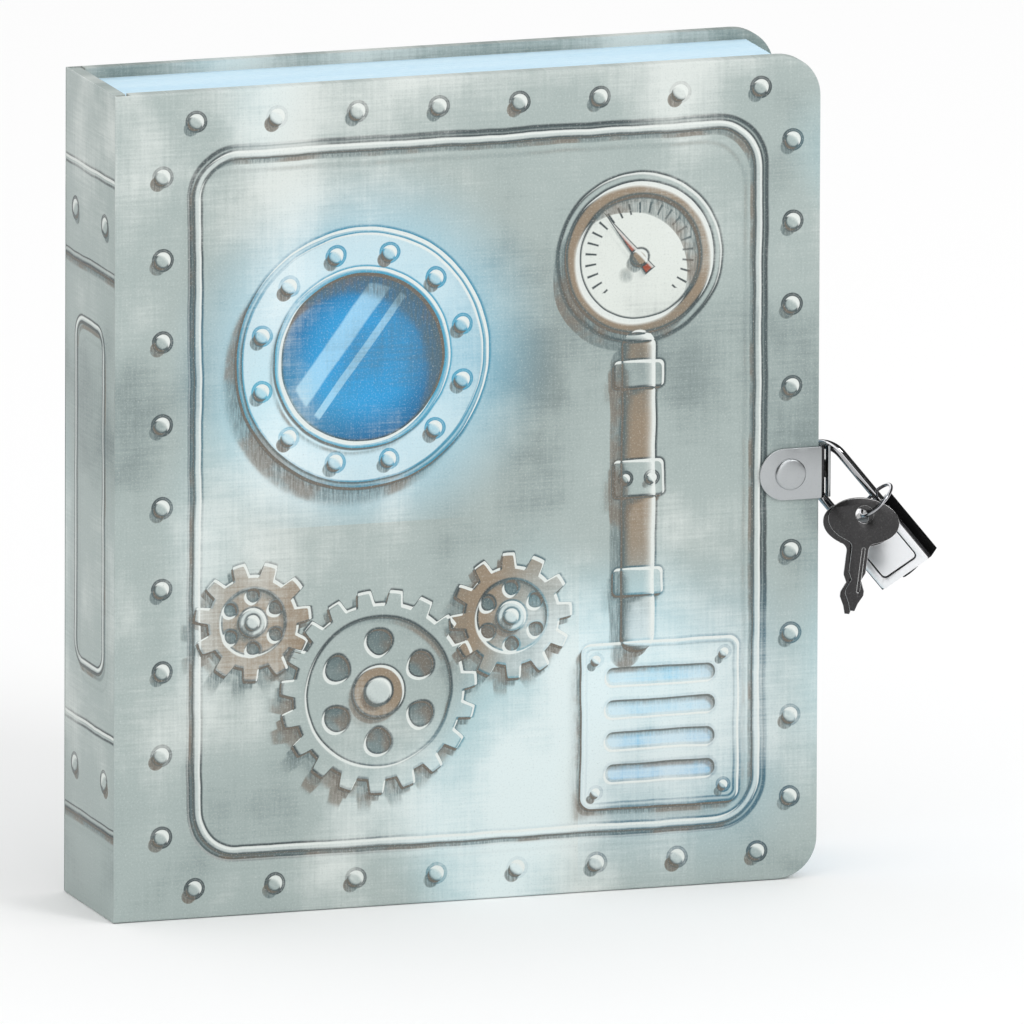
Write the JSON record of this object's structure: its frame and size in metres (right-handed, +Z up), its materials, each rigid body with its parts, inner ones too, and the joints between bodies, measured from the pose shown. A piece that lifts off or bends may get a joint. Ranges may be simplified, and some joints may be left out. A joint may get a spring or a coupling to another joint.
{
  "type": "locking hardcover diary",
  "caption": "Square-spined hardcover diary with printed boards, sewn page sections, a riveted fore-edge hasp and a small keyed padlock with its keys.",
  "frame": {"origin": "foot of the spine's outer face, at the middle of the book's thickness", "axes": "+X from the spine to the fore edge, +Y from the front cover to the back cover, +Z up"},
  "size_m": [0.1628, 0.0382, 0.159],
  "materials": {
    "printed_wrap": "printed paper, satin laminated",
    "board": "grey board",
    "paper": "pale blue writing paper",
    "endpaper": "smooth pale paper",
    "cloth": "open-weave lining cloth",
    "band": "woven band",
    "hasp_steel": "satin plated steel",
    "chrome": "bright chrome plate",
    "dark_nickel": "dark nickel plate",
    "key_steel": "dark bright plate",
    "spring_steel": "spring wire",
    "brass": "plain brass"
  },
  "bodies": {
    "page_block": {"spine_board": "board", "spine_wrap": "printed_wrap", "spine_lining": "cloth", "head_band": "band", "tail_band": "band", "section_04": "paper", "section_05": "paper", "section_06": "paper", "section_07": "paper", "section_08": "paper", "section_09": "paper", "section_10": "paper"},
    "front_cover": {"front_board": "board", "front_cover_wrap": "printed_wrap", "front_pastedown": "endpaper", "front_hasp": "hasp_steel", "front_rivet": "hasp_steel", "front_rivet_burr": "hasp_steel"},
    "back_cover": {"back_board": "board", "back_cover_wrap": "printed_wrap", "back_pastedown": "endpaper", "back_hasp": "hasp_steel", "back_rivet": "hasp_steel", "back_rivet_burr": "hasp_steel"},
    "front_leaf": {"front_flyleaf": "endpaper"},
    "back_leaf": {"back_flyleaf": "endpaper"},
    "shackle": {"shackle": "chrome"},
    "lock_case": {"lock_frame": "dark_nickel", "lock_front_plate": "chrome", "lock_back_plate": "chrome", "guide_plate_front": "brass", "guide_plate_back": "brass", "shackle_spring": "spring_steel", "key_plug_ring": "dark_nickel"},
    "plug": {"key_plug": "brass"},
    "latch_left": {"latch_left": "brass"},
    "latch_right": {"latch_right": "brass"},
    "key_ring": {"key_ring": "chrome"},
    "key_front": {"key_front": "key_steel"},
    "key_back": {"key_back": "key_steel"},
    "pages_01": {"section_01": "paper"},
    "pages_02": {"section_02": "paper"},
    "pages_03": {"section_03": "paper"},
    "pages_11": {"section_11": "paper"},
    "pages_12": {"section_12": "paper"},
    "pages_13": {"section_13": "paper"}
  },
  "joints": [
    {"name": "front_cover_hinge", "type": "hinge", "parent": "page_block", "child": "front_cover", "pos_m": [0, -0.0153, 0], "axis": [0, 0, -1], "range_deg": [0, 180]},
    {"name": "back_cover_hinge", "type": "hinge", "parent": "page_block", "child": "back_cover", "pos_m": [0, 0.0153, 0], "axis": [0, 0, 1], "range_deg": [0, 180]},
    {"name": "front_leaf_fold", "type": "hinge", "parent": "page_block", "child": "front_leaf", "pos_m": [0.0026, -0.0122, 0], "axis": [0, 0, -1], "range_deg": [0, 90.5]},
    {"name": "section_01_fold", "type": "hinge", "parent": "page_block", "child": "pages_01", "pos_m": [0.00295, -0.01177, 0], "axis": [0, 0, -1], "range_deg": [0, 83.3]},
    {"name": "section_02_fold", "type": "hinge", "parent": "page_block", "child": "pages_02", "pos_m": [0.00295, -0.00996, 0], "axis": [0, 0, -1], "range_deg": [0, 40.1]},
    {"name": "section_03_fold", "type": "hinge", "parent": "page_block", "child": "pages_03", "pos_m": [0.00295, -0.00814, 0], "axis": [0, 0, -1], "range_deg": [0, 18.5]},
    {"name": "back_leaf_fold", "type": "hinge", "parent": "page_block", "child": "back_leaf", "pos_m": [0.0026, 0.0122, 0], "axis": [0, 0, 1], "range_deg": [0, 90.5]},
    {"name": "section_13_fold", "type": "hinge", "parent": "page_block", "child": "pages_13", "pos_m": [0.00295, 0.01177, 0], "axis": [0, 0, 1], "range_deg": [0, 83.3]},
    {"name": "section_12_fold", "type": "hinge", "parent": "page_block", "child": "pages_12", "pos_m": [0.00295, 0.00996, 0], "axis": [0, 0, 1], "range_deg": [0, 40.1]},
    {"name": "section_11_fold", "type": "hinge", "parent": "page_block", "child": "pages_11", "pos_m": [0.00295, 0.00814, 0], "axis": [0, 0, 1], "range_deg": [0, 18.5]},
    {"name": "padlock_swing", "type": "hinge", "parent": "front_cover", "child": "shackle", "pos_m": [0.1426, -0.0105, 0.0784], "axis": [-0.5669, -0.7885, -0.2383], "range_deg": [0, 40]},
    {"name": "case_drop", "type": "slide", "parent": "shackle", "child": "lock_case", "axis": [0.6036, -0.2008, -0.7716], "range_m": [0, 0.0046]},
    {"name": "plug_turn", "type": "hinge", "parent": "lock_case", "child": "plug", "pos_m": [0.15811, -0.01566, 0.05857], "axis": [-0.6036, 0.2008, 0.7716], "range_deg": [0, 90.5]},
    {"name": "latch_left_slide", "type": "slide", "parent": "lock_case", "child": "latch_left", "axis": [0.5606, -0.5813, 0.5898], "range_m": [0, 0.00172]},
    {"name": "latch_right_slide", "type": "slide", "parent": "lock_case", "child": "latch_right", "axis": [-0.5606, 0.5813, -0.5898], "range_m": [0, 0.00172]},
    {"name": "key_ring_swing", "type": "hinge", "parent": "shackle", "child": "key_ring", "pos_m": [0.15162, -0.01531, 0.07287], "axis": [0.3156, 0.9489, 0], "range_deg": [-4, 5]},
    {"name": "key_back_swing", "type": "hinge", "parent": "key_ring", "child": "key_back", "pos_m": [0.14722, -0.01789, 0.0697], "axis": [0.3156, 0.9489, 0], "range_deg": [-12, 8]},
    {"name": "key_front_swing", "type": "hinge", "parent": "key_ring", "child": "key_front", "pos_m": [0.14786, -0.01915, 0.0705], "axis": [0.3156, 0.9489, 0], "range_deg": [-12, 8]}
  ],
  "couplings": [
    {"joint": "front_leaf_fold", "follows": "front_cover_hinge", "ratio": 0.5},
    {"joint": "section_01_fold", "follows": "front_cover_hinge", "ratio": 0.46},
    {"joint": "section_02_fold", "follows": "front_cover_hinge", "ratio": 0.22},
    {"joint": "section_03_fold", "follows": "front_cover_hinge", "ratio": 0.1},
    {"joint": "back_leaf_fold", "follows": "back_cover_hinge", "ratio": 0.5},
    {"joint": "section_13_fold", "follows": "back_cover_hinge", "ratio": 0.46},
    {"joint": "section_12_fold", "follows": "back_cover_hinge", "ratio": 0.22},
    {"joint": "section_11_fold", "follows": "back_cover_hinge", "ratio": 0.1},
    {"joint": "plug_turn", "follows": "case_drop", "rad_per_m": 341.48},
    {"joint": "latch_left_slide", "follows": "case_drop", "ratio": 0.36957},
    {"joint": "latch_right_slide", "follows": "case_drop", "ratio": 0.36957}
  ]
}
